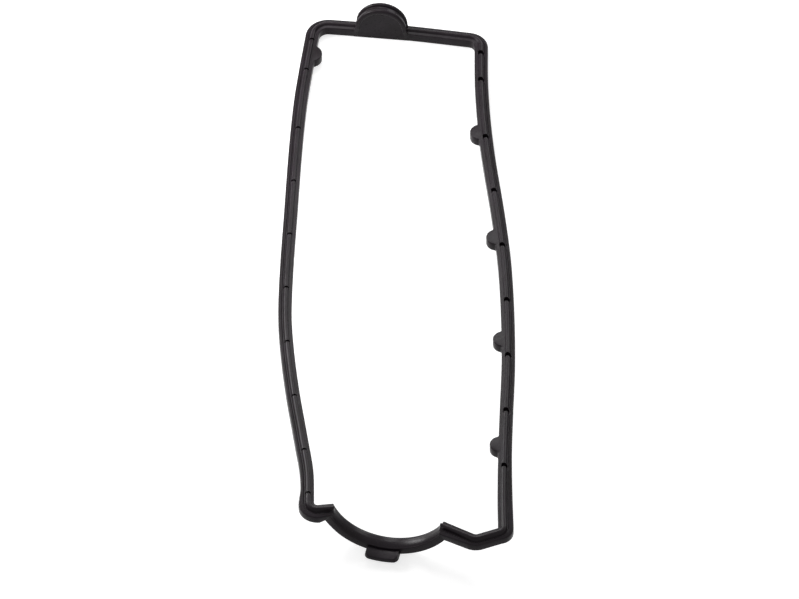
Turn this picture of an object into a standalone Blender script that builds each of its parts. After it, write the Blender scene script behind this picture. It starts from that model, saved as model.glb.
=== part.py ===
"""Valve cover gasket: one moulded rubber loop, modelled as it lies in the photograph.

X runs across the loop and Y along it, with the half-moon plug at the +Y end. Z is up, the way the
sealing bead faces. The origin lies under the middle of the bounding box, at its lowest level.
Lengths are in millimetres and angles in degrees. The mesh is made in metres.
"""

import math

import bmesh
import bpy
from mathutils import Matrix, Vector

MM = 0.001

# Band: the section that runs all round the loop, seen with its inner wall on the left.
BAND_WIDTH = 8.0
INNER_SHELF_HEIGHT = 5.8
OUTER_SHELF_HEIGHT = 5.1
BEAD_HEIGHT = 7.1
BEAD_WIDTH = 3.3
BEAD_INSET = 2.1
BEAD_CREST_WIDTH = 1.4
GROOVE_WIDTH = 0.9
GROOVE_DEPTH = 0.35
EDGE_ROUND = 0.5

# Outline of the inner wall from above. The right side ends where the bottom end run brings it.
LEFT_LENGTH = 378.5
LEFT_LEAN = 0.43
TOP_LENGTH = 92.2
TOP_SLANT = -7.2
TOP_BOW = 1.1
LEFT_RUN_LENGTH = 11.4
LEFT_RUN_SLANT = 6.7
ARCH_SLANT = -12.2
RIGHT_RUN_LENGTH = 21.2
RIGHT_RUN_SLANT = -29.0
CORNER_RUN_LENGTH = 14.1
CORNER_RUN_SLANT = 21.3

# Places where the band is wider outwards: a pad beside each foot of the arch, and the right corner.
LEFT_PAD_EXTRA_WIDTH = 1.4
LEFT_PAD_SHARE = 0.35
LEFT_PAD_SPAN = 15.0
RIGHT_PAD_EXTRA_WIDTH = 1.7
RIGHT_PAD_SPAN = 24.0
CORNER_EXTRA_WIDTH = 1.15
CORNER_SPAN = 75.0

# Bows of the two long sides: share of the side's length from its start, and bow outwards there.
LEFT_BOW = (
    (0.0, 0.0),
    (0.09, 4.4),
    (0.16, 7.3),
    (0.26, 9.8),
    (0.4, 12.2),
    (0.5, 13.9),
    (0.6, 14.6),
    (0.67, 13.2),
    (0.76, 9.6),
    (0.86, 4.2),
    (0.93, 0.6),
    (1.0, 0.0),
)
RIGHT_BOW = (
    (0.0, 0.0),
    (0.06, 0.5),
    (0.14, 1.9),
    (0.24, 4.3),
    (0.34, 6.8),
    (0.45, 7.8),
    (0.55, 7.3),
    (0.65, 4.8),
    (0.76, 1.1),
    (0.84, -0.6),
    (0.92, -1.0),
    (1.0, 0.0),
)

# Corner radii of the inner wall.
TOP_LEFT_RADIUS = 5.5
TOP_RIGHT_RADIUS = 4.0
BOTTOM_RIGHT_RADIUS = 1.0
BOTTOM_LEFT_RADIUS = 2.0
POINT_RADIUS = 3.0

# Arch: the stretch that dips below the loop, in an upright plane.
ARCH_CHORD = 65.8
ARCH_DEPTH = 21.6
ARCH_LEAN = 4.0
ARCH_TOP_HEIGHT = 5.95
ARCH_FALL_START = 3.5
ARCH_FALL = 1.4

# Tab on the outer wall of the arch, at its lowest part.
TAB_WIDTH = 20.7
TAB_REACH = 7.5
TAB_THICKNESS = 3.0
TAB_CORNER_RADIUS = 3.0
TAB_LIFT = 0.3
TAB_ROOT = 3.0

# Half-moon plug, which stands on the top end run.
PLUG_RADIUS = 15.3
PLUG_RISE = 1.11
PLUG_CENTRE_HEIGHT = 7.5
PLUG_FOOT_HEIGHT = 4.0
PLUG_FLARE = 1.2
PLUG_PLACE = 36.2
PLUG_THICKNESS = 7.8
PLUG_FACE_PROUD = 0.9
PLUG_RIM_WIDTH = 2.4
PLUG_RECESS_DEPTH = 0.8
PLUG_RIM_BEAD_WIDTH = 2.6
PLUG_GROOVE_DEPTH = 1.2
PLUG_BEAD_EASE = 0.4

# Half-round lobes on the inner wall: distances run down from the side's top corner.
LOBE_RADIUS = 6.0
LOBE_REACH = 5.1
LOBE_PLACES = (72.3, 156.2, 236.9, 319.5)
LEFT_LOBE_RADIUS = 6.3
LEFT_LOBE_REACH = 4.0
LEFT_LOBE_PLACE = 20.9

# Notches across the bead: distances run down from the side's top corner.
LEFT_NOTCH_LENGTH = 1.1
LEFT_NOTCH_END = 10.6
LEFT_NOTCH_SECOND = 34.6
LEFT_NOTCH_FIRST = 81.4
LEFT_NOTCH_PITCH = 42.3
LEFT_NOTCH_COUNT = 7
LEFT_NOTCH_LAST = 369.5
RIGHT_NOTCH_LENGTH = 2.6
RIGHT_NOTCH_END = 9.2
RIGHT_NOTCH_SECOND = 30.7
RIGHT_NOTCH_FIRST = 76.7
RIGHT_NOTCH_PITCH = 43.3
RIGHT_NOTCH_COUNT = 7
NOTCH_INSET = 2.0
LEFT_NOTCH_WIDTH = 4.1
RIGHT_NOTCH_WIDTH = 3.6
LEFT_NOTCH_DEPTH = 2.2
RIGHT_NOTCH_DEPTH = 3.4

# Fineness of the mesh, and how near to a corner or a lobe the even stations of a side come.
SIDE_STEP = 10.0
HEADING_STEP = 0.5
CORNER_MARGIN = 1.0
LOBE_MARGIN = 2.0
CORNER_STEPS = 5
ARCH_STEPS = 26
LOBE_STEPS = 10
TAB_STEPS = 4
PLUG_STEPS = 24

RUBBER_COLOUR = (0.02, 0.019, 0.022, 1.0)
RUBBER_ROUGHNESS = 0.5
UP = Vector((0.0, 0.0, 1.0))


def clear_scene():
    """Removes whatever the scene starts with."""
    for item in list(bpy.data.objects):
        bpy.data.objects.remove(item, do_unlink=True)


def band_section():
    """Points (outwards from the inner wall, up from the underside) once round the section."""
    bead_start = BEAD_INSET
    bead_end = BEAD_INSET + BEAD_WIDTH
    crest_start = bead_start + (BEAD_WIDTH - BEAD_CREST_WIDTH) / 2
    crest_end = crest_start + BEAD_CREST_WIDTH
    groove = OUTER_SHELF_HEIGHT - GROOVE_DEPTH
    return [
        (0.0, 0.0),
        (BAND_WIDTH, 0.0),
        (BAND_WIDTH, OUTER_SHELF_HEIGHT - EDGE_ROUND),
        (BAND_WIDTH - EDGE_ROUND, OUTER_SHELF_HEIGHT),
        (bead_end + GROOVE_WIDTH, OUTER_SHELF_HEIGHT),
        (bead_end, groove),
        (crest_end, BEAD_HEIGHT),
        (crest_start, BEAD_HEIGHT),
        (bead_start, INNER_SHELF_HEIGHT),
        (EDGE_ROUND, INNER_SHELF_HEIGHT),
        (0.0, INNER_SHELF_HEIGHT - EDGE_ROUND),
    ]


def direction(degrees):
    """Level unit vector at this angle from +X."""
    angle = math.radians(degrees)
    return Vector((math.cos(angle), math.sin(angle), 0.0))


def outward_of(along):
    """Level unit vector to the right of the way that the outline runs, which is out of the loop."""
    flat = Vector((along.y, -along.x, 0.0))
    return flat.normalized()


def bow_at(bow, share):
    """Bow of a side at this share of its length, on a smooth curve through the listed ones."""
    slopes = []
    for i in range(len(bow)):
        before = bow[max(i - 1, 0)]
        after = bow[min(i + 1, len(bow) - 1)]
        slopes.append((after[1] - before[1]) / (after[0] - before[0]))
    for i in range(len(bow) - 1):
        if share <= bow[i + 1][0]:
            break
    span = bow[i + 1][0] - bow[i][0]
    t = (share - bow[i][0]) / span
    start = (2 * t**3 - 3 * t**2 + 1) * bow[i][1] + (t**3 - 2 * t**2 + t) * span * slopes[i]
    end = (3 * t**2 - 2 * t**3) * bow[i + 1][1] + (t**3 - t**2) * span * slopes[i + 1]
    return start + end


class Side:
    """A bowed side of the inner wall, from its start corner to its end corner."""

    def __init__(self, start, end, bow):
        self.start = start
        self.length = (end - start).length
        self.along = (end - start).normalized()
        self.outward = outward_of(self.along)
        self.bow = bow

    def point(self, distance):
        share = min(max(distance / self.length, 0.0), 1.0)
        return self.start + self.along * distance + self.outward * bow_at(self.bow, share)

    def heading(self, distance):
        ahead = self.point(distance + HEADING_STEP)
        return (ahead - self.point(distance - HEADING_STEP)).normalized()


class Outline:
    """The corners of the inner wall, at the level of the inner shelf."""

    def __init__(self):
        self.bottom_left = Vector((0.0, 0.0, INNER_SHELF_HEIGHT))
        self.top_left = self.bottom_left + LEFT_LENGTH * direction(90.0 - LEFT_LEAN)
        self.top_right = self.top_left + TOP_LENGTH * direction(TOP_SLANT)
        self.left_foot = self.bottom_left + LEFT_RUN_LENGTH * direction(LEFT_RUN_SLANT)
        self.right_foot = self.left_foot + ARCH_CHORD * direction(ARCH_SLANT)
        self.lower_point = self.right_foot + RIGHT_RUN_LENGTH * direction(RIGHT_RUN_SLANT)
        self.bottom_right = self.lower_point + CORNER_RUN_LENGTH * direction(CORNER_RUN_SLANT)
        self.left = Side(self.top_left, self.bottom_left, LEFT_BOW)
        self.right = Side(self.bottom_right, self.top_right, RIGHT_BOW)
        self.top = Side(self.top_right, self.top_left, ((0.0, 0.0), (0.5, TOP_BOW), (1.0, 0.0)))


def station(point, outward, up, lobe=0.0):
    """One place along the band: its inner top edge, its section axes, and how far a lobe reaches in."""
    return {"point": point, "outward": outward, "up": up, "lobe": lobe, "extra": 0.0, "plain": False}


def corner_stations(corner, heading_in, heading_out, radius):
    """Stations round a corner of the inner wall, on an arc of this radius."""
    turn = heading_in.angle(heading_out)
    cut = radius * math.tan(turn / 2)
    centre = corner - heading_in * cut - outward_of(heading_in) * radius
    found = []
    for i in range(CORNER_STEPS + 1):
        outward = Matrix.Rotation(turn * i / CORNER_STEPS, 3, "Z") @ outward_of(heading_in)
        found.append(station(centre + outward * radius, outward, UP))
    return found


def lobe_reach_at(distance, place, radius, reach):
    """How far a lobe at this place reaches inwards here."""
    aside = abs(distance - place)
    if aside >= radius:
        return 0.0
    return max(math.sqrt(radius**2 - aside**2) - (radius - reach), 0.0)


def side_stations(side, lobes, start_gap, end_gap):
    """Stations along a long side, close together where a lobe's outline needs them."""
    places = []
    steps = math.ceil((side.length - start_gap - end_gap) / SIDE_STEP)
    for i in range(steps + 1):
        places.append(start_gap + (side.length - start_gap - end_gap) * i / steps)
    for place, radius, reach in lobes:
        half = math.sqrt(radius**2 - (radius - reach) ** 2)
        places = [d for d in places if abs(d - place) > half + LOBE_MARGIN]
        half_turn = math.acos((radius - reach) / radius)
        for i in range(LOBE_STEPS + 1):
            places.append(place + radius * math.sin(half_turn * (2 * i / LOBE_STEPS - 1)))
    found = []
    for distance in sorted(places):
        reach = max([lobe_reach_at(distance, *lobe) for lobe in lobes], default=0.0)
        found.append(station(side.point(distance), outward_of(side.heading(distance)), UP, reach))
    return found


def left_lobes():
    return [(LEFT_LOBE_PLACE, LEFT_LOBE_RADIUS, LEFT_LOBE_REACH)]


def right_lobes(side):
    """The right side runs up from the bottom, so places from the top corner are turned round."""
    return [(side.length - place, LOBE_RADIUS, LOBE_REACH) for place in LOBE_PLACES]


def arch_radius():
    return (ARCH_CHORD**2 / 4 + ARCH_DEPTH**2) / (2 * ARCH_DEPTH)


def arch_half_angle():
    return math.asin(ARCH_CHORD / 2 / arch_radius())


def arch_axes(outline, angle):
    """Point on the arch's inner top edge, and the way to its centre, this far round from its lowest part."""
    along = direction(ARCH_SLANT)
    radius = arch_radius()
    middle = (outline.left_foot + outline.right_foot) / 2
    up = UP * math.cos(angle) - along * math.sin(angle)
    point = middle + UP * (radius - ARCH_DEPTH) - up * radius
    depth = middle.z - point.z
    return point - along * depth * math.tan(math.radians(ARCH_LEAN)), up


def mitre(first, second):
    """Axis of the section where two stretches with these axes meet."""
    return (first + second) / (1 + first.dot(second))


def arch_stations(outline):
    """Stations from the arch's left foot to its right foot. Both feet are sharp mitres."""
    along = direction(ARCH_SLANT)
    outward = outward_of(along)
    half = arch_half_angle()
    found = []
    for i in range(ARCH_STEPS + 1):
        point, up = arch_axes(outline, half * (2 * i / ARCH_STEPS - 1))
        found.append(station(point, outward, up))
    for place in found[1:-1]:
        place["plain"] = True
    for end, slant in ((found[0], LEFT_RUN_SLANT), (found[-1], RIGHT_RUN_SLANT)):
        end["outward"] = mitre(outward_of(direction(slant)), outward)
        end["up"] = mitre(UP, end["up"])
    return found


def widening(point, middle, most, span):
    """Extra width here of a stretch that is widest at its middle and fades out at this distance."""
    share = max(1 - (point - middle).length / span, 0.0)
    return most * share**2 * (3 - 2 * share)


def corner_share(outward):
    """1 on the right side and 0 on the corner run, by where the outer wall faces."""
    run = outward_of(direction(CORNER_RUN_SLANT)).x
    return max((outward.x - run) / (1 - run), 0.0)


def arch_height(outwards):
    """Height of the arch's plain top here: level inside, and rounded down towards the outer wall."""
    fall = max(outwards - ARCH_FALL_START, 0.0) / (BAND_WIDTH - ARCH_FALL_START)
    return ARCH_TOP_HEIGHT - ARCH_FALL * fall**2


def corner_gap(heading_in, heading_out, radius):
    """Length that a rounded corner takes from each of the runs beside it."""
    return radius * math.tan(heading_in.angle(heading_out) / 2)


def band_stations(outline):
    """Stations once round the loop, from the top left corner down, along the bottom and back up."""
    top_start = outline.top.heading(HEADING_STEP)
    top_end = outline.top.heading(outline.top.length - HEADING_STEP)
    left_run = direction(LEFT_RUN_SLANT)
    right_run = direction(RIGHT_RUN_SLANT)
    corner_run = direction(CORNER_RUN_SLANT)
    left_start = outline.left.heading(HEADING_STEP)
    left_end = outline.left.heading(outline.left.length - HEADING_STEP)
    right_start = outline.right.heading(HEADING_STEP)
    right_end = outline.right.heading(outline.right.length - HEADING_STEP)
    found = corner_stations(outline.top_left, top_end, left_start, TOP_LEFT_RADIUS)
    found += side_stations(
        outline.left,
        left_lobes(),
        corner_gap(top_end, left_start, TOP_LEFT_RADIUS) + CORNER_MARGIN,
        corner_gap(left_end, left_run, BOTTOM_LEFT_RADIUS) + CORNER_MARGIN,
    )
    found += corner_stations(outline.bottom_left, left_end, left_run, BOTTOM_LEFT_RADIUS)
    found += arch_stations(outline)
    found += corner_stations(outline.lower_point, right_run, corner_run, POINT_RADIUS)
    found += corner_stations(outline.bottom_right, corner_run, right_start, BOTTOM_RIGHT_RADIUS)
    found += side_stations(
        outline.right,
        right_lobes(outline.right),
        corner_gap(corner_run, right_start, BOTTOM_RIGHT_RADIUS) + CORNER_MARGIN,
        corner_gap(right_end, top_start, TOP_RIGHT_RADIUS) + CORNER_MARGIN,
    )
    found += corner_stations(outline.top_right, right_end, top_start, TOP_RIGHT_RADIUS)
    found += side_stations(
        outline.top,
        [],
        corner_gap(right_end, top_start, TOP_RIGHT_RADIUS) + CORNER_MARGIN,
        corner_gap(top_end, left_start, TOP_LEFT_RADIUS) + CORNER_MARGIN,
    )
    left_pad = outline.bottom_left.lerp(outline.left_foot, LEFT_PAD_SHARE)
    for place in found:
        place["extra"] = widening(place["point"], left_pad, LEFT_PAD_EXTRA_WIDTH, LEFT_PAD_SPAN)
        if not place["plain"]:
            pad = widening(place["point"], outline.right_foot, RIGHT_PAD_EXTRA_WIDTH, RIGHT_PAD_SPAN)
            place["extra"] += pad
        corner = widening(place["point"], outline.bottom_right, CORNER_EXTRA_WIDTH, CORNER_SPAN)
        place["extra"] += corner * corner_share(place["outward"])
    return found


def mesh_object(name, points, faces):
    """Object with this mesh, in metres, with its faces turned outwards."""
    mesh = bpy.data.meshes.new(name)
    mesh.from_pydata([point * MM for point in points], [], faces)
    made = bmesh.new()
    made.from_mesh(mesh)
    bmesh.ops.recalc_face_normals(made, faces=made.faces)
    made.to_mesh(mesh)
    made.free()
    item = bpy.data.objects.new(name, mesh)
    bpy.context.scene.collection.objects.link(item)
    return item


def ring_faces(rings, size, closed):
    """Quads between rings of this many points. An open row of rings also gets its two end faces."""
    faces = []
    for i in range(rings if closed else rings - 1):
        here = i * size
        there = (i + 1) % rings * size
        for j in range(size):
            k = (j + 1) % size
            faces.append((here + j, here + k, there + k, there + j))
    if not closed:
        faces.append(tuple(range(size)))
        faces.append(tuple(range((rings - 1) * size, rings * size)))
    return faces


def build_band(outline):
    """The closed band, with the lobes as a wider inner shelf, and with no bead along the arch."""
    section = band_section()
    stations = band_stations(outline)
    points = []
    for place in stations:
        for outwards, height in section:
            if place["plain"] and EDGE_ROUND <= outwards <= BAND_WIDTH - EDGE_ROUND:
                height = arch_height(outwards)
            if outwards <= EDGE_ROUND:
                outwards -= place["lobe"]
            if outwards >= BAND_WIDTH - EDGE_ROUND:
                outwards += place["extra"]
            across = place["outward"] * outwards
            points.append(place["point"] + across + place["up"] * (height - INNER_SHELF_HEIGHT))
    return mesh_object("gasket", points, ring_faces(len(stations), len(section), True))


def build_tab(outline):
    """The tab, curved with the arch's underside and with its two outer corners rounded."""
    outward = outward_of(direction(ARCH_SLANT))
    radius = arch_radius() + INNER_SHELF_HEIGHT
    half = TAB_WIDTH / 2
    flat = half - TAB_CORNER_RADIUS
    places = []
    for i in range(TAB_STEPS + 1):
        turn = math.pi / 2 * i / TAB_STEPS
        aside = flat + TAB_CORNER_RADIUS * math.cos(turn)
        reach = TAB_REACH - TAB_CORNER_RADIUS * (1 - math.sin(turn))
        places.append((aside, reach))
    places += [(-aside, reach) for aside, reach in reversed(places)]
    points = []
    for aside, reach in places:
        point, up = arch_axes(outline, aside / radius)
        for outwards in (BAND_WIDTH - TAB_ROOT, BAND_WIDTH + reach):
            for height in (TAB_LIFT, TAB_LIFT + TAB_THICKNESS):
                points.append(point + outward * outwards + up * (height - INNER_SHELF_HEIGHT))
    order = [points[4 * i + j] for i in range(len(places)) for j in (0, 1, 3, 2)]
    return mesh_object("tab", order, ring_faces(len(places), 4, False))


def plug_profile():
    """Points (outwards from the inner wall, distance from the plug's axis) from its face to its back."""
    front = -PLUG_FACE_PROUD
    back = front + PLUG_THICKNESS
    half_bead = PLUG_RIM_BEAD_WIDTH / 2
    shoulder = PLUG_RADIUS - half_bead
    valley = PLUG_RADIUS - PLUG_GROOVE_DEPTH
    return [
        (front + PLUG_RECESS_DEPTH, PLUG_RADIUS - PLUG_RIM_WIDTH - PLUG_RECESS_DEPTH),
        (front, PLUG_RADIUS - PLUG_RIM_WIDTH),
        (front, shoulder),
        (front + half_bead * PLUG_BEAD_EASE, PLUG_RADIUS - half_bead * PLUG_BEAD_EASE),
        (front + half_bead, PLUG_RADIUS),
        (front + PLUG_RIM_BEAD_WIDTH, valley),
        (back - PLUG_RIM_BEAD_WIDTH, valley),
        (back - half_bead, PLUG_RADIUS),
        (back - half_bead * PLUG_BEAD_EASE, PLUG_RADIUS - half_bead * PLUG_BEAD_EASE),
        (back, shoulder),
    ]


def build_plug(outline):
    """The half-moon: a half disc with two beads round its rim, and a foot down to the underside."""
    distance = outline.top.length - PLUG_PLACE
    along = outline.top.heading(distance)
    outward = outward_of(along)
    profile = plug_profile()
    base = outline.top.point(distance)
    centre = base + UP * (PLUG_CENTRE_HEIGHT - INNER_SHELF_HEIGHT)
    points = []
    for i in range(PLUG_STEPS + 1):
        angle = math.pi * i / PLUG_STEPS
        for outwards, radius in profile:
            arm = along * math.cos(angle) + UP * (math.sin(angle) * PLUG_RISE)
            points.append(centre + outward * outwards + arm * radius)
    size = len(profile)
    rings = PLUG_STEPS + 1
    faces = []
    for i in range(rings - 1):
        for j in range(size - 1):
            faces.append((i * size + j, i * size + j + 1, (i + 1) * size + j + 1, (i + 1) * size + j))
    first = tuple(range(size))
    last = tuple(range((rings - 1) * size, rings * size))
    face = profile[0][0]
    ends = []
    for ring, aside in ((first, along), (last, -along)):
        rows = [ring]
        for level in (PLUG_FOOT_HEIGHT, 0.0):
            start = len(points)
            for (outwards, radius), index in zip(profile, ring):
                low = points[index] + outward * max(face - outwards, 0.0) + aside * PLUG_FLARE
                low.z = level
                points.append(low)
            rows.append(tuple(range(start, start + size)))
        for above, below in zip(rows, rows[1:]):
            for j in range(size - 1):
                faces.append((above[j], above[j + 1], below[j + 1], below[j]))
        ends.append(rows)
    left, right = ends
    faces.append(left[2] + tuple(reversed(right[2])))
    front = tuple(i * size for i in range(rings))
    back = tuple(i * size + size - 1 for i in range(rings))
    faces.append(front + (right[1][0], right[2][0], left[2][0], left[1][0]))
    faces.append(back + (right[1][-1], right[2][-1], left[2][-1], left[1][-1]))
    return mesh_object("plug", points, faces)


def notch_box(side, distance, length, width, depth):
    """Corners of one notch cutter, square to the side where it cuts."""
    along = side.heading(distance)
    outward = outward_of(along)
    middle = side.point(distance)
    top = BEAD_HEIGHT + depth
    points = []
    for step in (-length / 2, length / 2):
        for outwards in (NOTCH_INSET, NOTCH_INSET + width):
            for height in (BEAD_HEIGHT - depth, top):
                rise = UP * (height - INNER_SHELF_HEIGHT)
                points.append(middle + along * step + outward * outwards + rise)
    return points


def build_notches(outline):
    """One mesh of all the notch cutters."""
    left = [LEFT_NOTCH_END, LEFT_NOTCH_SECOND, LEFT_NOTCH_LAST]
    left += [LEFT_NOTCH_FIRST + LEFT_NOTCH_PITCH * i for i in range(LEFT_NOTCH_COUNT)]
    right = [RIGHT_NOTCH_END, RIGHT_NOTCH_SECOND]
    right += [RIGHT_NOTCH_FIRST + RIGHT_NOTCH_PITCH * i for i in range(RIGHT_NOTCH_COUNT)]
    boxes = []
    for place in left:
        boxes.append(
            notch_box(outline.left, place, LEFT_NOTCH_LENGTH, LEFT_NOTCH_WIDTH, LEFT_NOTCH_DEPTH)
        )
    for place in right:
        distance = outline.right.length - place
        boxes.append(
            notch_box(outline.right, distance, RIGHT_NOTCH_LENGTH, RIGHT_NOTCH_WIDTH, RIGHT_NOTCH_DEPTH)
        )
    points = []
    faces = []
    for box in boxes:
        base = len(points)
        points += box
        for face in ((0, 1, 3, 2), (4, 5, 7, 6), (0, 1, 5, 4), (2, 3, 7, 6), (0, 2, 6, 4), (1, 3, 7, 5)):
            faces.append(tuple(base + i for i in face))
    return mesh_object("notch_cutter", points, faces)


def apply_boolean(target, tool, operation):
    """Joins or cuts with an exact Boolean, makes it permanent and removes the tool."""
    modifier = target.modifiers.new("boolean", "BOOLEAN")
    modifier.object = tool
    modifier.operation = operation
    modifier.solver = "EXACT"
    graph = bpy.context.evaluated_depsgraph_get()
    mesh = bpy.data.meshes.new_from_object(target.evaluated_get(graph))
    target.modifiers.clear()
    old = target.data
    target.data = mesh
    bpy.data.meshes.remove(old)
    bpy.data.objects.remove(tool, do_unlink=True)


def centre_on_base(item):
    """Moves the mesh so that the origin lies under the middle of its bounding box."""
    xs, ys, zs = zip(*[vertex.co for vertex in item.data.vertices])
    shift = Vector((-(min(xs) + max(xs)) / 2, -(min(ys) + max(ys)) / 2, -min(zs)))
    item.data.transform(Matrix.Translation(shift))


def rubber():
    """Satin black rubber."""
    material = bpy.data.materials.new("rubber_black")
    material.use_nodes = True
    shader = material.node_tree.nodes["Principled BSDF"]
    shader.inputs["Base Color"].default_value = RUBBER_COLOUR
    shader.inputs["Roughness"].default_value = RUBBER_ROUGHNESS
    return material


def main():
    clear_scene()
    outline = Outline()
    gasket = build_band(outline)
    apply_boolean(gasket, build_plug(outline), "UNION")
    apply_boolean(gasket, build_tab(outline), "UNION")
    apply_boolean(gasket, build_notches(outline), "DIFFERENCE")
    centre_on_base(gasket)
    gasket.data.name = "gasket"
    gasket.data.materials.clear()
    gasket.data.materials.append(rubber())


main()
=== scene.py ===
"""Looks of the valve cover gasket: a finely moulded rubber loop in place of the plain solid.

The loop's shape follows the same values as the solid. Lengths are in millimetres and angles in
degrees. The mesh is made in metres, in the frame of the solid.
"""

import math

import bmesh
import bpy
from mathutils import Matrix, Vector


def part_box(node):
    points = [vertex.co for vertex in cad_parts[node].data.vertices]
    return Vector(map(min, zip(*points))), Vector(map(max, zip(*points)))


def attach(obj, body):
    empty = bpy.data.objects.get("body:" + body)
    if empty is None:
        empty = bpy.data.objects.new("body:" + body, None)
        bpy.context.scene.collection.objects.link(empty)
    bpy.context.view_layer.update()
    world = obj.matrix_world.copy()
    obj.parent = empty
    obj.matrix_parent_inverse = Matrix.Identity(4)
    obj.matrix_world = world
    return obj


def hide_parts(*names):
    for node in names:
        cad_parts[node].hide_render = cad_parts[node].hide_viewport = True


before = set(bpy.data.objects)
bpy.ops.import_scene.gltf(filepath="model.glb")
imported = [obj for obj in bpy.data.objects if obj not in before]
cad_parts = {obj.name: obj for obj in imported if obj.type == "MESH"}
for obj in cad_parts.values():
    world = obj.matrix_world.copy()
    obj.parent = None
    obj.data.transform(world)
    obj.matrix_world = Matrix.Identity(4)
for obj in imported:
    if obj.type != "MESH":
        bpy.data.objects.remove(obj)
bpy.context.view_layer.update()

MM = 0.001
WHITE = (1.0, 1.0, 1.0, 1.0)

# Band: the section that runs all round the loop, seen with its inner wall on the left. The roundings
# at the two ends of a straight stretch of it have to fit within that stretch.
BAND_WIDTH = 8.0
INNER_SHELF_HEIGHT = 5.8
OUTER_SHELF_HEIGHT = 5.1
BEAD_HEIGHT = 7.1
BEAD_START = 2.1
CREST_START = 2.75
CREST_END = 4.45
BEAD_END = 5.4
GROOVE_END = 5.9
LIP_START = 6.3
GROOVE_FLOOR = 4.7
LIP_FALL = 0.4
UNDER_ROUND = 0.4
EDGE_ROUND = 0.5
LIP_ROUND = 0.6
GROOVE_ROUND = 0.35
CREST_ROUND = 1.2
FOOT_ROUND = 0.5

# Zones of the section: its inner edge follows the lobes, its outer wall follows the pads, and what is
# above the top level belongs to its top.
EDGE_ZONE = 1.0
OUTER_ZONE = 7.0
TOP_LEVEL = 4.0

# Outline of the inner wall from above. The right side ends where the bottom end run brings it.
LEFT_LENGTH = 378.5
LEFT_LEAN = 0.43
TOP_LENGTH = 92.2
TOP_SLANT = -7.2
TOP_BOW = 1.1
LEFT_RUN_LENGTH = 11.4
LEFT_RUN_SLANT = 6.7
ARCH_SLANT = -12.2
RIGHT_RUN_LENGTH = 21.2
RIGHT_RUN_SLANT = -29.0
CORNER_RUN_LENGTH = 14.1
CORNER_RUN_SLANT = 21.3

# Places where the band is wider outwards: a pad beside each foot of the arch, and the right corner.
LEFT_PAD_EXTRA_WIDTH = 1.4
LEFT_PAD_SHARE = 0.35
LEFT_PAD_SPAN = 15.0
RIGHT_PAD_EXTRA_WIDTH = 1.7
RIGHT_PAD_SPAN = 24.0
CORNER_EXTRA_WIDTH = 1.15
CORNER_SPAN = 75.0

# Bows of the two long sides: share of the side's length from its start, and bow outwards there.
LEFT_BOW = (
    (0.0, 0.0),
    (0.09, 4.4),
    (0.16, 7.3),
    (0.26, 9.8),
    (0.4, 12.2),
    (0.5, 13.9),
    (0.6, 14.6),
    (0.67, 13.2),
    (0.76, 9.6),
    (0.86, 4.2),
    (0.93, 0.6),
    (1.0, 0.0),
)
RIGHT_BOW = (
    (0.0, 0.0),
    (0.06, 0.5),
    (0.14, 1.9),
    (0.24, 4.3),
    (0.34, 6.8),
    (0.45, 7.8),
    (0.55, 7.3),
    (0.65, 4.8),
    (0.76, 1.1),
    (0.84, -0.6),
    (0.92, -1.0),
    (1.0, 0.0),
)

# Corner radii of the inner wall.
TOP_LEFT_RADIUS = 5.5
TOP_RIGHT_RADIUS = 4.0
BOTTOM_RIGHT_RADIUS = 1.0
BOTTOM_LEFT_RADIUS = 2.0
POINT_RADIUS = 3.0

# Arch: the stretch that dips below the loop, in an upright plane.
ARCH_CHORD = 65.8
ARCH_DEPTH = 21.6
ARCH_LEAN = 4.0
ARCH_TOP_HEIGHT = 5.95
ARCH_FALL_START = 3.5
ARCH_FALL = 1.4

# Tab on the outer wall of the arch, at its lowest part.
TAB_WIDTH = 20.7
TAB_REACH = 7.5
TAB_THICKNESS = 3.0
TAB_CORNER_RADIUS = 3.0
TAB_LIFT = 0.3
TAB_ROOT = 3.0
TAB_EDGE_ROUND = 0.6

# Half-moon plug, which stands on the top end run.
PLUG_RADIUS = 15.3
PLUG_RISE = 1.11
PLUG_CENTRE_HEIGHT = 7.5
PLUG_FOOT_HEIGHT = 4.0
PLUG_FLARE = 1.2
PLUG_PLACE = 36.2
PLUG_THICKNESS = 7.8
PLUG_FACE_PROUD = 0.9
PLUG_RIM_WIDTH = 2.4
PLUG_RECESS_DEPTH = 0.8
PLUG_RECESS_SLOPE = 0.3
PLUG_RIM_BEAD_WIDTH = 2.6
PLUG_GROOVE_DEPTH = 1.2
PLUG_ROUND = 0.35
PLUG_FACE_MARGIN = 0.7

# How round the two beads on the plug's rim are, as shares of half their width: beside the plug's faces
# and beside the groove between them.
PLUG_OUTER_SHARE = 0.98
PLUG_INNER_SHARE = 0.9

# Half-round lobes on the inner wall: distances run down from the side's top corner.
LOBE_RADIUS = 6.0
LOBE_REACH = 5.1
LOBE_PLACES = (72.3, 156.2, 236.9, 319.5)
LOBE_FILLET = 1.5
LEFT_LOBE_RADIUS = 6.3
LEFT_LOBE_REACH = 4.0
LEFT_LOBE_PLACE = 20.9

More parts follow.
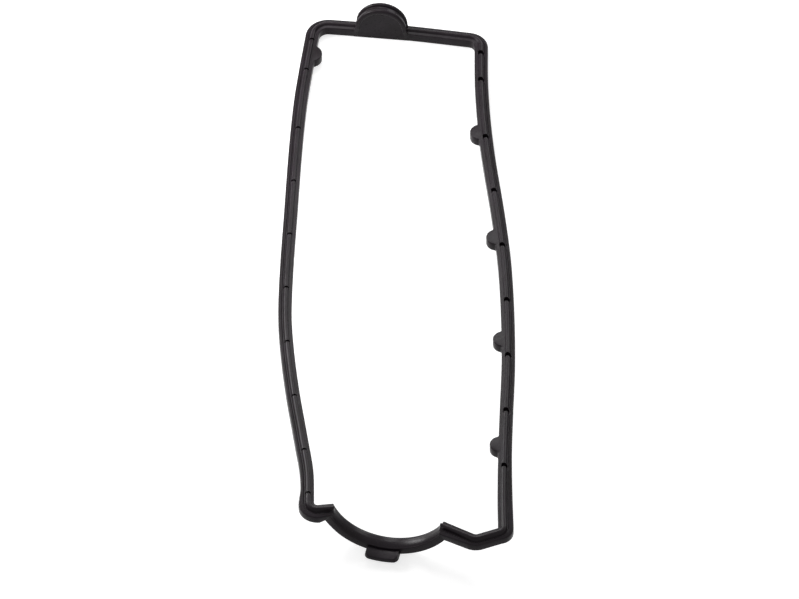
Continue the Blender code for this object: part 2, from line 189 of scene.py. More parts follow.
# Notches across the bead: distances run down from the side's top corner.
LEFT_NOTCH_LENGTH = 1.1
LEFT_NOTCH_END = 10.6
LEFT_NOTCH_SECOND = 34.6
LEFT_NOTCH_FIRST = 81.4
LEFT_NOTCH_PITCH = 42.3
LEFT_NOTCH_COUNT = 7
LEFT_NOTCH_LAST = 369.5
RIGHT_NOTCH_LENGTH = 2.6
RIGHT_NOTCH_END = 9.2
RIGHT_NOTCH_SECOND = 30.7
RIGHT_NOTCH_FIRST = 76.7
RIGHT_NOTCH_PITCH = 43.3
RIGHT_NOTCH_COUNT = 7
NOTCH_INSET = 2.0
LEFT_NOTCH_WIDTH = 4.1
RIGHT_NOTCH_WIDTH = 3.6
LEFT_NOTCH_DEPTH = 2.2
RIGHT_NOTCH_DEPTH = 3.4
NOTCH_SLOPE = 0.12
NOTCH_MARGIN = 0.36

# Fineness of the mesh, and how near to a corner or a lobe the even stations of a side come. Stations
# nearer to each other than LEAST_STEP are one, and so are points nearer than SAME_POINT.
SIDE_STEP = 2.0
LEAST_STEP = 0.048
HEADING_STEP = 0.5
CORNER_MARGIN = 1.0
LOBE_MARGIN = 0.4
CORNER_STEPS = 12
ARCH_STEPS = 72
BEAD_RUN_OUT_STEPS = 3
ARC_STEP = 22.5
LOBE_STEPS = 28
FILLET_STEPS = 5
TOP_POINT_GAP = 0.4
TAB_STEPS = 8
PLUG_STEPS = 96
SAME_POINT = 0.001
SHARP_ANGLE = 40.0

UP = Vector((0.0, 0.0, 1.0))


def rounded(corners):
    """Points along a line through these corners (x, y, radius), each corner rounded to its radius."""
    found = []
    count = len(corners)
    for i, (x, y, radius) in enumerate(corners):
        here = Vector((x, y))
        if radius == 0:
            found.append(here)
            continue
        before = (Vector(corners[i - 1][:2]) - here).normalized()
        after = (Vector(corners[(i + 1) % count][:2]) - here).normalized()
        half = before.angle(after) / 2
        centre = here + (before + after).normalized() * (radius / math.sin(half))
        start = here + before * (radius / math.tan(half)) - centre
        turn = math.pi - 2 * half
        if before.x * after.y - before.y * after.x > 0:
            turn = -turn
        steps = max(math.ceil(abs(math.degrees(turn)) / ARC_STEP), 2)
        for j in range(steps + 1):
            found.append(centre + Matrix.Rotation(turn * j / steps, 2) @ start)
    return found


def band_section():
    """Points (outwards from the inner wall, up from the underside) once round the section."""
    corners = [
        (0.0, 0.0, UNDER_ROUND),
        (BAND_WIDTH, 0.0, UNDER_ROUND),
        (BAND_WIDTH, OUTER_SHELF_HEIGHT - LIP_FALL, LIP_ROUND),
        (LIP_START, OUTER_SHELF_HEIGHT, LIP_ROUND),
        (GROOVE_END, GROOVE_FLOOR, GROOVE_ROUND),
        (BEAD_END, GROOVE_FLOOR, GROOVE_ROUND),
        (CREST_END, BEAD_HEIGHT, CREST_ROUND),
        (CREST_START, BEAD_HEIGHT, CREST_ROUND),
        (BEAD_START, INNER_SHELF_HEIGHT, FOOT_ROUND),
        (0.0, INNER_SHELF_HEIGHT, EDGE_ROUND),
    ]
    line = rounded(corners)
    found = []
    for i, here in enumerate(line):
        found.append(here)
        there = line[(i + 1) % len(line)]
        if min(here.y, there.y) > TOP_LEVEL and min(here.x, there.x) > EDGE_ZONE:
            pieces = math.ceil((there - here).length / TOP_POINT_GAP)
            found += [here.lerp(there, j / pieces) for j in range(1, pieces)]
    return found


def direction(degrees):
    """Level unit vector at this angle from +X."""
    angle = math.radians(degrees)
    return Vector((math.cos(angle), math.sin(angle), 0.0))


def outward_of(along):
    """Level unit vector to the right of the way that the outline runs, which is out of the loop."""
    flat = Vector((along.y, -along.x, 0.0))
    return flat.normalized()


def bow_at(bow, share):
    """Bow of a side at this share of its length, on a smooth curve through the listed ones."""
    slopes = []
    for i in range(len(bow)):
        before = bow[max(i - 1, 0)]
        after = bow[min(i + 1, len(bow) - 1)]
        slopes.append((after[1] - before[1]) / (after[0] - before[0]))
    for i in range(len(bow) - 1):
        if share <= bow[i + 1][0]:
            break
    span = bow[i + 1][0] - bow[i][0]
    t = (share - bow[i][0]) / span
    start = (2 * t**3 - 3 * t**2 + 1) * bow[i][1] + (t**3 - 2 * t**2 + t) * span * slopes[i]
    end = (3 * t**2 - 2 * t**3) * bow[i + 1][1] + (t**3 - t**2) * span * slopes[i + 1]
    return start + end


class Side:
    """A bowed side of the inner wall, from its start corner to its end corner."""

    def __init__(self, start, end, bow):
        self.start = start
        self.length = (end - start).length
        self.along = (end - start).normalized()
        self.outward = outward_of(self.along)
        self.bow = bow

    def point(self, distance):
        share = min(max(distance / self.length, 0.0), 1.0)
        return self.start + self.along * distance + self.outward * bow_at(self.bow, share)

    def heading(self, distance):
        ahead = self.point(distance + HEADING_STEP)
        return (ahead - self.point(distance - HEADING_STEP)).normalized()


class Outline:
    """The corners of the inner wall, at the level of the inner shelf."""

    def __init__(self):
        self.bottom_left = Vector((0.0, 0.0, INNER_SHELF_HEIGHT))
        self.top_left = self.bottom_left + LEFT_LENGTH * direction(90.0 - LEFT_LEAN)
        self.top_right = self.top_left + TOP_LENGTH * direction(TOP_SLANT)
        self.left_foot = self.bottom_left + LEFT_RUN_LENGTH * direction(LEFT_RUN_SLANT)
        self.right_foot = self.left_foot + ARCH_CHORD * direction(ARCH_SLANT)
        self.lower_point = self.right_foot + RIGHT_RUN_LENGTH * direction(RIGHT_RUN_SLANT)
        self.bottom_right = self.lower_point + CORNER_RUN_LENGTH * direction(CORNER_RUN_SLANT)
        self.left = Side(self.top_left, self.bottom_left, LEFT_BOW)
        self.right = Side(self.bottom_right, self.top_right, RIGHT_BOW)
        self.top = Side(self.top_right, self.top_left, ((0.0, 0.0), (0.5, TOP_BOW), (1.0, 0.0)))


class Lobe:
    """A half-round lobe on the inner wall, blended into it by a small fillet on each side."""

    def __init__(self, place, radius, reach):
        self.place = place
        self.radius = radius
        self.inset = radius - reach
        self.half = math.sqrt((radius + LOBE_FILLET) ** 2 - (LOBE_FILLET + self.inset) ** 2)
        self.meet = self.half * radius / (radius + LOBE_FILLET)

    def places(self):
        """Distances along the side that draw the lobe's outline evenly."""
        turn = math.asin(self.meet / self.radius)
        found = [self.radius * math.sin(turn * (2 * i / LOBE_STEPS - 1)) for i in range(LOBE_STEPS + 1)]
        swing = math.asin((self.half - self.meet) / LOBE_FILLET)
        for i in range(FILLET_STEPS):
            aside = self.half - LOBE_FILLET * math.sin(swing * i / FILLET_STEPS)
            found += [-aside, aside]
        return [self.place + aside for aside in found]

    def edge(self, distance):
        """How far the edge stands inwards at this distance, and its slope there."""
        aside = abs(distance - self.place)
        sign = math.copysign(1.0, distance - self.place)
        if aside >= self.half:
            return 0.0, 0.0
        if aside > self.meet:
            left = self.half - aside
            rise = math.sqrt(LOBE_FILLET**2 - left**2)
            return LOBE_FILLET - rise, -sign * left / rise
        rise = math.sqrt(self.radius**2 - aside**2)
        return rise - self.inset, -sign * aside / rise


def station(point, outward, up):
    """One place along the band: its inner top edge and its section axes, with no lobe, notch or widening."""
    return {
        "point": point,
        "outward": outward,
        "up": up,
        "edge": point,
        "edge_way": outward,
        "extra": 0.0,
        "notch": 0.0,
        "notch_width": 0.0,
        "floor": 0.0,
        "plain": 0.0,
    }


def corner_stations(corner, heading_in, heading_out, radius):
    """Stations round a corner of the inner wall, on an arc of this radius."""
    turn = heading_in.angle(heading_out)
    cut = radius * math.tan(turn / 2)
    centre = corner - heading_in * cut - outward_of(heading_in) * radius
    found = []
    for i in range(CORNER_STEPS + 1):
        outward = Matrix.Rotation(turn * i / CORNER_STEPS, 3, "Z") @ outward_of(heading_in)
        found.append(station(centre + outward * radius, outward, UP))
    return found


def notch_places(place, length):
    """Distances along the side of a notch's middle, its two slopes and the margins beside them."""
    half = length / 2
    found = [place]
    for aside in (half - NOTCH_SLOPE, half, half + NOTCH_SLOPE, half + NOTCH_MARGIN):
        found += [place - aside, place + aside]
    return found


def side_stations(side, lobes, notches, start_gap, end_gap):
    """Stations along a side, close together at its lobes and notches."""
    room = side.length - start_gap - end_gap
    steps = math.ceil(room / SIDE_STEP)
    places = [start_gap + room * i / steps for i in range(steps + 1)]
    for lobe in lobes:
        places = [d for d in places if abs(d - lobe.place) > lobe.half + LOBE_MARGIN]
        places += lobe.places()
    for place, length, width, depth in notches:
        places += notch_places(place, length)
    found = []
    last = -1.0
    for distance in sorted(places):
        if distance - last < LEAST_STEP:
            continue
        last = distance
        heading = side.heading(distance)
        outward = outward_of(heading)
        made = station(side.point(distance), outward, UP)
        for lobe in lobes:
            reach, slope = lobe.edge(distance)
            if reach > 0:
                made["edge"] = made["point"] - outward * reach
                made["edge_way"] = (outward + heading * slope).normalized()
        for place, length, width, depth in notches:
            inside = (length / 2 + NOTCH_SLOPE / 2 - abs(distance - place)) / NOTCH_SLOPE
            if inside > 0:
                made["notch"] = min(inside, 1.0)
                made["notch_width"] = width
                made["floor"] = BEAD_HEIGHT - depth
        found.append(made)
    return found


def left_notches():
    """Notches as (place, length along the side, width across the band, depth)."""
    places = [LEFT_NOTCH_END, LEFT_NOTCH_SECOND, LEFT_NOTCH_LAST]
    places += [LEFT_NOTCH_FIRST + LEFT_NOTCH_PITCH * i for i in range(LEFT_NOTCH_COUNT)]
    return [(place, LEFT_NOTCH_LENGTH, LEFT_NOTCH_WIDTH, LEFT_NOTCH_DEPTH) for place in places]


def right_notches(side):
    """The right side runs up from the bottom, so places from the top corner are turned round."""
    places = [RIGHT_NOTCH_END, RIGHT_NOTCH_SECOND]
    places += [RIGHT_NOTCH_FIRST + RIGHT_NOTCH_PITCH * i for i in range(RIGHT_NOTCH_COUNT)]
    size = (RIGHT_NOTCH_LENGTH, RIGHT_NOTCH_WIDTH, RIGHT_NOTCH_DEPTH)
    return [(side.length - place, *size) for place in places]


def right_lobes(side):
    return [Lobe(side.length - place, LOBE_RADIUS, LOBE_REACH) for place in LOBE_PLACES]


def arch_radius():
    return (ARCH_CHORD**2 / 4 + ARCH_DEPTH**2) / (2 * ARCH_DEPTH)


def arch_half_angle():
    return math.asin(ARCH_CHORD / 2 / arch_radius())


def arch_axes(outline, angle):
    """Point on the arch's inner top edge, and the way to its centre, this far round from its lowest part."""
    along = direction(ARCH_SLANT)
    radius = arch_radius()
    middle = (outline.left_foot + outline.right_foot) / 2
    up = UP * math.cos(angle) - along * math.sin(angle)
    point = middle + UP * (radius - ARCH_DEPTH) - up * radius
    depth = middle.z - point.z
    return point - along * depth * math.tan(math.radians(ARCH_LEAN)), up


def mitre(first, second):
    """Axis of the section where two stretches with these axes meet."""
    return (first + second) / (1 + first.dot(second))


def arch_stations(outline):
    """Stations from the arch's left foot to its right foot. Both feet are sharp mitres."""
    outward = outward_of(direction(ARCH_SLANT))
    half = arch_half_angle()
    found = []
    for i in range(ARCH_STEPS + 1):
        point, up = arch_axes(outline, half * (2 * i / ARCH_STEPS - 1))
        found.append(station(point, outward, up))
        found[-1]["plain"] = min(min(i, ARCH_STEPS - i) / BEAD_RUN_OUT_STEPS, 1.0)
    for end, slant in ((found[0], LEFT_RUN_SLANT), (found[-1], RIGHT_RUN_SLANT)):
        end["outward"] = mitre(outward_of(direction(slant)), outward)
        end["edge_way"] = end["outward"]
        end["up"] = mitre(UP, end["up"])
    return found


def widening(point, middle, most, span):
    """Extra width here of a stretch that is widest at its middle and fades out at this distance."""
    share = max(1 - (point - middle).length / span, 0.0)
    return most * share**2 * (3 - 2 * share)


def corner_share(outward):
    """1 on the right side and 0 on the corner run, by where the outer wall faces."""
    run = outward_of(direction(CORNER_RUN_SLANT)).x
    return max((outward.x - run) / (1 - run), 0.0)


def arch_height(outwards):
    """Height of the arch's plain top here: level inside, and rounded down towards the outer wall."""
    fall = max(outwards - ARCH_FALL_START, 0.0) / (BAND_WIDTH - ARCH_FALL_START)
    return ARCH_TOP_HEIGHT - ARCH_FALL * fall**2


def corner_gap(heading_in, heading_out, radius):
    """Length that a rounded corner takes from each of the runs beside it."""
    return radius * math.tan(heading_in.angle(heading_out) / 2)


def band_stations(outline):
    """Stations once round the loop, from the top left corner down, along the bottom and back up."""
    top_start = outline.top.heading(HEADING_STEP)
    top_end = outline.top.heading(outline.top.length - HEADING_STEP)
    left_run = direction(LEFT_RUN_SLANT)
    right_run = direction(RIGHT_RUN_SLANT)
    corner_run = direction(CORNER_RUN_SLANT)
    left_start = outline.left.heading(HEADING_STEP)
    left_end = outline.left.heading(outline.left.length - HEADING_STEP)
    right_start = outline.right.heading(HEADING_STEP)
    right_end = outline.right.heading(outline.right.length - HEADING_STEP)
    found = corner_stations(outline.top_left, top_end, left_start, TOP_LEFT_RADIUS)
    found += side_stations(
        outline.left,
        [Lobe(LEFT_LOBE_PLACE, LEFT_LOBE_RADIUS, LEFT_LOBE_REACH)],
        left_notches(),
        corner_gap(top_end, left_start, TOP_LEFT_RADIUS) + CORNER_MARGIN,
        corner_gap(left_end, left_run, BOTTOM_LEFT_RADIUS) + CORNER_MARGIN,
    )
    found += corner_stations(outline.bottom_left, left_end, left_run, BOTTOM_LEFT_RADIUS)
    found += arch_stations(outline)
    found += corner_stations(outline.lower_point, right_run, corner_run, POINT_RADIUS)
    found += corner_stations(outline.bottom_right, corner_run, right_start, BOTTOM_RIGHT_RADIUS)
    found += side_stations(
        outline.right,
        right_lobes(outline.right),
        right_notches(outline.right),
        corner_gap(corner_run, right_start, BOTTOM_RIGHT_RADIUS) + CORNER_MARGIN,
        corner_gap(right_end, top_start, TOP_RIGHT_RADIUS) + CORNER_MARGIN,
    )
    found += corner_stations(outline.top_right, right_end, top_start, TOP_RIGHT_RADIUS)
    found += side_stations(
        outline.top,
        [],
        [],
        corner_gap(right_end, top_start, TOP_RIGHT_RADIUS) + CORNER_MARGIN,
        corner_gap(top_end, left_start, TOP_LEFT_RADIUS) + CORNER_MARGIN,
    )
    left_pad = outline.bottom_left.lerp(outline.left_foot, LEFT_PAD_SHARE)
    for place in found:
        place["extra"] = widening(place["point"], left_pad, LEFT_PAD_EXTRA_WIDTH, LEFT_PAD_SPAN)
        if not place["plain"]:
            pad = widening(place["point"], outline.right_foot, RIGHT_PAD_EXTRA_WIDTH, RIGHT_PAD_SPAN)
            place["extra"] += pad
        corner = widening(place["point"], outline.bottom_right, CORNER_EXTRA_WIDTH, CORNER_SPAN)
        place["extra"] += corner * corner_share(place["outward"])
    return found


def mesh_object(name, points, faces):
    """Object with this mesh, in metres, with its faces turned outwards."""
    mesh = bpy.data.meshes.new(name)
    mesh.from_pydata([point * MM for point in points], [], faces)
    made = bmesh.new()
    made.from_mesh(mesh)
    bmesh.ops.recalc_face_normals(made, faces=made.faces)
    made.to_mesh(mesh)
    made.free()
    item = bpy.data.objects.new(name, mesh)
    bpy.context.scene.collection.objects.link(item)
    return item


def ring_faces(rings, size, closed):
    """Quads between rings of this many points. An open row of rings also gets its two end faces."""
    faces = []
    for i in range(rings if closed else rings - 1):
        here = i * size
        there = (i + 1) % rings * size
        for j in range(size):
            k = (j + 1) % size
            faces.append((here + j, here + k, there + k, there + j))
    if not closed:
        faces.append(tuple(range(size)))
        faces.append(tuple(range((rings - 1) * size, rings * size)))
    return faces


def notch_share(outwards, width):
    """1 where a notch this wide crosses the section, 0 outside it, with a short slope between."""
    start = (outwards - NOTCH_INSET) / NOTCH_SLOPE
    end = (NOTCH_INSET + width - outwards) / NOTCH_SLOPE
    return min(max(min(start, end), 0.0), 1.0)


def build_band(outline):
    """The closed band, with its lobes and notches, and with no bead along the arch."""
    section = band_section()
    stations = band_stations(outline)
    points = []
    for place in stations:
        for outwards, height in section:
            if place["plain"] > 0 and height > TOP_LEVEL and EDGE_ROUND < outwards < OUTER_ZONE:
                height += (arch_height(outwards) - height) * place["plain"]
            if place["notch"] > 0 and height > place["floor"]:
                share = place["notch"] * notch_share(outwards, place["notch_width"])
                height -= (height - place["floor"]) * share
            if outwards < EDGE_ZONE:
                flat = place["edge"] + place["edge_way"] * outwards
            elif outwards > OUTER_ZONE:
                flat = place["point"] + place["outward"] * (outwards + place["extra"])
            else:
                flat = place["point"] + place["outward"] * outwards
            points.append(flat + place["up"] * (height - INNER_SHELF_HEIGHT))
    return mesh_object("gasket_rubber", points, ring_faces(len(stations), len(section), True))


def build_tab(outline):
    """The tab, curved with the arch's underside, with its corners and edges rounded."""
    outward = outward_of(direction(ARCH_SLANT))
    radius = arch_radius() + INNER_SHELF_HEIGHT
    half = TAB_WIDTH / 2
    flat = half - TAB_CORNER_RADIUS
    places = []
    for i in range(TAB_STEPS + 1):
        turn = math.pi / 2 * i / TAB_STEPS
        aside = flat + TAB_CORNER_RADIUS * math.cos(turn)
        reach = TAB_REACH - TAB_CORNER_RADIUS * (1 - math.sin(turn))
        places.append((aside, reach))
    for i in range(1, TAB_STEPS):
        places.append((flat * (1 - i / TAB_STEPS), TAB_REACH))
    places.append((0.0, TAB_REACH))
    places += [(-aside, reach) for aside, reach in reversed(places[:-1])]
    root = BAND_WIDTH - TAB_ROOT
    top = TAB_LIFT + TAB_THICKNESS
    points = []
    for aside, reach in places:
        point, up = arch_axes(outline, aside / radius)
        edge = BAND_WIDTH + reach
        corners = [
            (root, TAB_LIFT, 0.0),
            (edge, TAB_LIFT, TAB_EDGE_ROUND),
            (edge, top, TAB_EDGE_ROUND),
            (root, top, 0.0),
        ]
        profile = rounded(corners)
        for outwards, height in profile:
            points.append(point + outward * outwards + up * (height - INNER_SHELF_HEIGHT))
    return mesh_object("tab", points, ring_faces(len(places), len(profile), False))


def plug_profile():
    """Points (outwards from the inner wall, distance from the plug's axis) from its face to its back."""
    front = -PLUG_FACE_PROUD
    back = front + PLUG_THICKNESS
    face = front + PLUG_RECESS_DEPTH
    ring = PLUG_RADIUS - PLUG_RIM_WIDTH
    bead = PLUG_RIM_BEAD_WIDTH / 2
    valley = PLUG_RADIUS - PLUG_GROOVE_DEPTH
    corners = [
        (face, ring - PLUG_RECESS_SLOPE - PLUG_FACE_MARGIN, 0.0),
        (face, ring - PLUG_RECESS_SLOPE, PLUG_ROUND),
        (front, ring, PLUG_ROUND),
        (front, PLUG_RADIUS, bead * PLUG_OUTER_SHARE),
        (front + PLUG_RIM_BEAD_WIDTH, PLUG_RADIUS, bead * PLUG_INNER_SHARE),
        (front + PLUG_RIM_BEAD_WIDTH, valley, PLUG_ROUND),
        (back - PLUG_RIM_BEAD_WIDTH, valley, PLUG_ROUND),
        (back - PLUG_RIM_BEAD_WIDTH, PLUG_RADIUS, bead * PLUG_INNER_SHARE),
        (back, PLUG_RADIUS, bead * PLUG_OUTER_SHARE),
        (back, PLUG_RADIUS - PLUG_RIM_BEAD_WIDTH, 0.0),
    ]
    return rounded(corners)


def build_plug(outline):
    """The half-moon: a half disc with two beads round its rim, and a foot down to the underside."""
    distance = outline.top.length - PLUG_PLACE
    along = outline.top.heading(distance)
    outward = outward_of(along)
    profile = plug_profile()
    base = outline.top.point(distance)
    centre = base + UP * (PLUG_CENTRE_HEIGHT - INNER_SHELF_HEIGHT)
    points = []
    for i in range(PLUG_STEPS + 1):
        angle = math.pi * i / PLUG_STEPS
        for outwards, radius in profile:
            arm = along * math.cos(angle) + UP * (math.sin(angle) * PLUG_RISE)
            points.append(centre + outward * outwards + arm * radius)
    size = len(profile)
    rings = PLUG_STEPS + 1
    faces = []
    for i in range(rings - 1):
        for j in range(size - 1):
            faces.append((i * size + j, i * size + j + 1, (i + 1) * size + j + 1, (i + 1) * size + j))
    first = tuple(range(size))
    last = tuple(range((rings - 1) * size, rings * size))
    face = profile[0][0]
    ends = []
    for ring, aside in ((first, along), (last, -along)):
        rows = [ring]
        for level in (PLUG_FOOT_HEIGHT, 0.0):
            start = len(points)
            for (outwards, _), index in zip(profile, ring):
                low = points[index] + outward * max(face - outwards, 0.0) + aside * PLUG_FLARE
                low.z = level
                points.append(low)
            rows.append(tuple(range(start, start + size)))
        for above, below in zip(rows, rows[1:]):
            for j in range(size - 1):
                faces.append((above[j], above[j + 1], below[j + 1], below[j]))
        ends.append(rows)
    left, right = ends
    faces.append(left[2] + tuple(reversed(right[2])))
    front = tuple(i * size for i in range(rings))
    back = tuple(i * size + size - 1 for i in range(rings))
    faces.append(front + (right[1][0], right[2][0], left[2][0], left[1][0]))
    faces.append(back + (right[1][-1], right[2][-1], left[2][-1], left[1][-1]))
    return mesh_object("plug", points, faces)


def merge_close_points(mesh):
    """Merges the points that an exact Boolean leaves on top of each other in a seam."""
    made = bmesh.new()
    made.from_mesh(mesh)
    bmesh.ops.remove_doubles(made, verts=made.verts, dist=SAME_POINT * MM)
    made.to_mesh(mesh)
    made.free()


def join(target, tool):
    """Joins with an exact Boolean, makes it permanent and removes the tool."""
    modifier = target.modifiers.new("boolean", "BOOLEAN")
    modifier.object = tool
    modifier.operation = "UNION"
    modifier.solver = "EXACT"
    graph = bpy.context.evaluated_depsgraph_get()
    mesh = bpy.data.meshes.new_from_object(target.evaluated_get(graph))
    target.modifiers.clear()
    merge_close_points(mesh)
    old = target.data
    target.data = mesh
    bpy.data.meshes.remove(old)
    bpy.data.objects.remove(tool, do_unlink=True)


def corners_of(item):
    """Lowest and highest corner of the object's mesh."""
    xs, ys, zs = zip(*[vertex.co for vertex in item.data.vertices])
    return Vector((min(xs), min(ys), min(zs))), Vector((max(xs), max(ys), max(zs)))


def place_on_solid(item):
    """Moves the mesh to the solid's place, by the middle of the box and its lowest level."""
    low, high = corners_of(item)
    solid_low, solid_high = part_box("gasket")
    shift = (Vector(solid_low) + Vector(solid_high) - low - high) / 2
    shift.z = solid_low[2] - low.z
    item.data.transform(Matrix.Translation(shift))


def noise_node(tree, place, noise):
    """Noise texture of this scale, detail and roughness."""
    scale, detail, roughness = noise
    node = tree.nodes.new("ShaderNodeTexNoise")
    node.inputs["Scale"].default_value = scale
    node.inputs["Detail"].default_value = detail
    node.inputs["Roughness"].default_value = roughness
    tree.links.new(place, node.inputs["Vector"])
    return node.outputs["Fac"]


def range_node(tree, value, low, high, to_low, to_high):
    """Maps a value from one range to another."""
    node = tree.nodes.new("ShaderNodeMapRange")
    node.inputs["From Min"].default_value = low
    node.inputs["From Max"].default_value = high
    node.inputs["To Min"].default_value = to_low
    node.inputs["To Max"].default_value = to_high
    tree.links.new(value, node.inputs["Value"])
    return node.outputs["Result"]


def mix_node(tree, share, first, second):
    """Colour between these two."""
    node = tree.nodes.new("ShaderNodeMix")
    node.data_type = "RGBA"
    tree.links.new(share, node.inputs["Factor"])
    for socket, colour in ((node.inputs[6], first), (node.inputs[7], second)):
        if isinstance(colour, tuple):
            socket.default_value = colour
        else:
            tree.links.new(colour, socket)
    return node.outputs[2]


def bump_node(tree, height, distance, strength):
    """Bump of this greatest height."""
    node = tree.nodes.new("ShaderNodeBump")
    node.inputs["Distance"].default_value = distance
    node.inputs["Strength"].default_value = strength
    tree.links.new(height, node.inputs["Height"])
    return node


# Rubber: noises as (cells per metre, detail, roughness), bump heights in metres.
CLOUDS = (55.0, 3.0, 0.5)
WAVES = (160.0, 2.0, 0.5)
SPECKS = (900.0, 2.0, 0.6)
GRAIN = (2600.0, 3.0, 0.6)
RUBBER_DARK = (0.0095, 0.0062, 0.0080, 1.0)
RUBBER_PALE = (0.017, 0.0122, 0.0165, 1.0)
DUST_COLOUR = (0.034, 0.028, 0.032, 1.0)
DUST_MOST = 0.5
BLOOM_RANGE = (0.35, 0.68)
DUST_RANGE = (0.6, 0.78)
GLOSS_RANGE = (0.3, 0.7)
ROUGHNESS_RANGE = (0.26, 0.36)
SPECULAR_LEVEL = 0.125
WAVE_HEIGHT = 0.00025
WAVE_STRENGTH = 0.35
GRAIN_HEIGHT = 0.00006
GRAIN_STRENGTH = 0.5


def rubber():
    """Satin black moulded rubber with a faint purple-grey bloom."""
    material = bpy.data.materials.new("rubber_black")
    material.use_nodes = True
    tree = material.node_tree
    shader = tree.nodes["Principled BSDF"]
    place = tree.nodes.new("ShaderNodeTexCoord").outputs["Object"]
    clouds = noise_node(tree, place, CLOUDS)
    specks = noise_node(tree, place, SPECKS)
    grain = noise_node(tree, place, GRAIN)
    waves = noise_node(tree, place, WAVES)
    bloom = range_node(tree, clouds, *BLOOM_RANGE, 0.0, 1.0)
    colour = mix_node(tree, bloom, RUBBER_DARK, RUBBER_PALE)
    dust = range_node(tree, specks, *DUST_RANGE, 0.0, DUST_MOST)
    colour = mix_node(tree, dust, colour, DUST_COLOUR)
    tree.links.new(colour, shader.inputs["Base Color"])
    roughness = range_node(tree, specks, *GLOSS_RANGE, *ROUGHNESS_RANGE)
    tree.links.new(roughness, shader.inputs["Roughness"])
    shader.inputs["Specular IOR Level"].default_value = SPECULAR_LEVEL
    coarse = bump_node(tree, waves, WAVE_HEIGHT, WAVE_STRENGTH)
    fine = bump_node(tree, grain, GRAIN_HEIGHT, GRAIN_STRENGTH)
    tree.links.new(coarse.outputs["Normal"], fine.inputs["Normal"])
    tree.links.new(fine.outputs["Normal"], shader.inputs["Normal"])
    return material


def build_gasket():
    """The whole loop as one mesh, in place of the solid."""
    outline = Outline()
    gasket = build_band(outline)
    join(gasket, build_plug(outline))
    join(gasket, build_tab(outline))
    place_on_solid(gasket)
    gasket.data.name = "gasket_rubber"
    gasket.data.materials.clear()
    gasket.data.materials.append(rubber())
    for face in gasket.data.polygons:
        face.use_smooth = True
    gasket.data.set_sharp_from_angle(angle=math.radians(SHARP_ANGLE))
    return gasket


# Camera: a long lens far away, so that the picture is nearly parallel. It sees things from CLIP_START,
# in metres, to CLIP_REACH times its distance.
PICTURE_WIDTH = 469.8
CAMERA_LENS = 1200.0
SENSOR_WIDTH = 36.0
CAMERA_ELEVATION = 48.0
PICTURE_MIDDLE = Vector((1.7, -11.5, 22.0))
CLIP_START = 0.1
CLIP_REACH = 3


def build_camera():
    data = bpy.data.cameras.new("camera")
    data.lens = CAMERA_LENS
    data.sensor_width = SENSOR_WIDTH
    distance = PICTURE_WIDTH * CAMERA_LENS / SENSOR_WIDTH
    data.clip_start = CLIP_START
    data.clip_end = distance * MM * CLIP_REACH
    camera = bpy.data.objects.new("camera", data)
    rise = math.radians(CAMERA_ELEVATION)
    back = Vector((0.0, -math.cos(rise), math.sin(rise)))
    camera.location = (PICTURE_MIDDLE + back * distance) * MM
    camera.rotation_mode = "QUATERNION"
    camera.rotation_quaternion = (-back).to_track_quat("-Z", "Y")
    bpy.context.scene.collection.objects.link(camera)
    bpy.context.scene.camera = camera


# Floor: the loop rests on its arch and on the far end run, so the floor leans a little in this frame.
# Its size is in metres.
FLOOR_SIZE = 8.0
FLOOR_ROUGHNESS = 0.9
SLOPE_PASSES = 4
FLOOR_COLOUR = (0.6, 0.6, 0.6, 1.0)
FLOOR_GLOW = 0.74


def floor_slope(item):
    """Level direction across the far end run, the floor's slope along it and its level at the origin."""
    across = outward_of(direction(TOP_SLANT)) * -1
    rows = [(across.dot(vertex.co), vertex.co.z) for vertex in item.data.vertices]
    near_rows = [row for row in rows if row[0] < 0]
    far_rows = [row for row in rows if row[0] > 0]
    slope = 0.0
    for _ in range(SLOPE_PASSES):
        near_place, near_level = min(near_rows, key=lambda row: row[1] - slope * row[0])
        slope = min((z - near_level) / (q - near_place) for q, z in far_rows)
    return across, slope, near_level - slope * near_place


def seen_share(tree):
    """1 for rays from the camera and for those that mirror or pass on what it sees, otherwise 0."""
    path = tree.nodes.new("ShaderNodeLightPath")
    total = path.outputs["Is Camera Ray"]
    for name in ("Is Glossy Ray", "Is Transmission Ray"):
        node = tree.nodes.new("ShaderNodeMath")
        node.operation = "MAXIMUM"
        tree.links.new(total, node.inputs[0])
        tree.links.new(path.outputs[name], node.inputs[1])
        total = node.outputs["Value"]
    return total


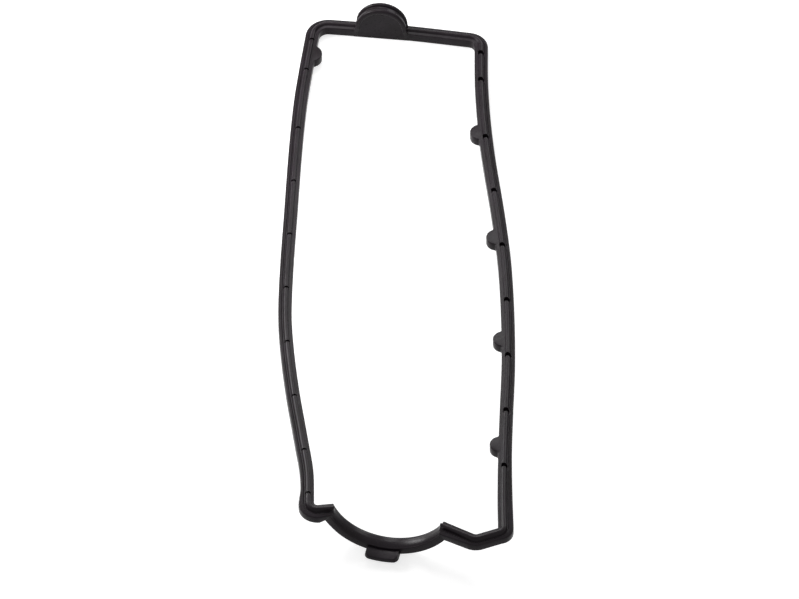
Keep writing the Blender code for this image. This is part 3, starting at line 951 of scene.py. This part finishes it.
def build_floor(item):
    across, slope, level = floor_slope(item)
    half = FLOOR_SIZE / 2
    along = direction(TOP_SLANT)
    points = []
    for x, y in ((-half, -half), (half, -half), (half, half), (-half, half)):
        point = along * x + across * y
        point.z = level + slope * y
        points.append(point / MM)
    floor = mesh_object("floor", points, [(0, 1, 2, 3)])
    material = bpy.data.materials.new("floor_white")
    material.use_nodes = True
    tree = material.node_tree
    shader = tree.nodes["Principled BSDF"]
    shader.inputs["Base Color"].default_value = FLOOR_COLOUR
    shader.inputs["Roughness"].default_value = FLOOR_ROUGHNESS
    shader.inputs["Emission Color"].default_value = WHITE
    glow = range_node(tree, seen_share(tree), 0.0, 1.0, 0.0, FLOOR_GLOW)
    tree.links.new(glow, shader.inputs["Emission Strength"])
    floor.data.materials.append(material)
    return floor


def build_light(name, position, size, level):
    """Square lamp aimed at the loop. Its level is what it adds to a white surface that faces it."""
    data = bpy.data.lights.new(name, "AREA")
    data.shape = "SQUARE"
    data.size = size
    place = Vector(position)
    data.energy = level * math.pi**2 * place.length_squared
    lamp = bpy.data.objects.new(name, data)
    lamp.location = place
    lamp.rotation_mode = "QUATERNION"
    lamp.rotation_quaternion = (-place).to_track_quat("-Z", "Y")
    bpy.context.scene.collection.objects.link(lamp)


# Lamps as (name, place in metres, side of the square in metres, level), and the room's level.
LAMPS = (
    ("left", (-0.42, 0.21, 0.28), 0.25, 1.0),
    ("back", (-0.07, 0.34, 0.42), 0.2, 0.3),
    ("right", (1.25, 1.45, 1.1), 0.8, 0.26),
)
WORLD_LEVEL = 0.22


def build_world():
    """Even white room: full white to the camera, dimmer as light."""
    world = bpy.data.worlds.new("world")
    bpy.context.scene.world = world
    world.use_nodes = True
    tree = world.node_tree
    background = tree.nodes["Background"]
    background.inputs["Color"].default_value = WHITE
    strength = range_node(tree, seen_share(tree), 0.0, 1.0, WORLD_LEVEL, 1.0)
    tree.links.new(strength, background.inputs["Strength"])


build_camera()
gasket = build_gasket()
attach(gasket, "root")
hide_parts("gasket")
build_floor(gasket)
for lamp in LAMPS:
    build_light(*lamp)
build_world()
bpy.context.scene.view_settings.view_transform = "Standard"
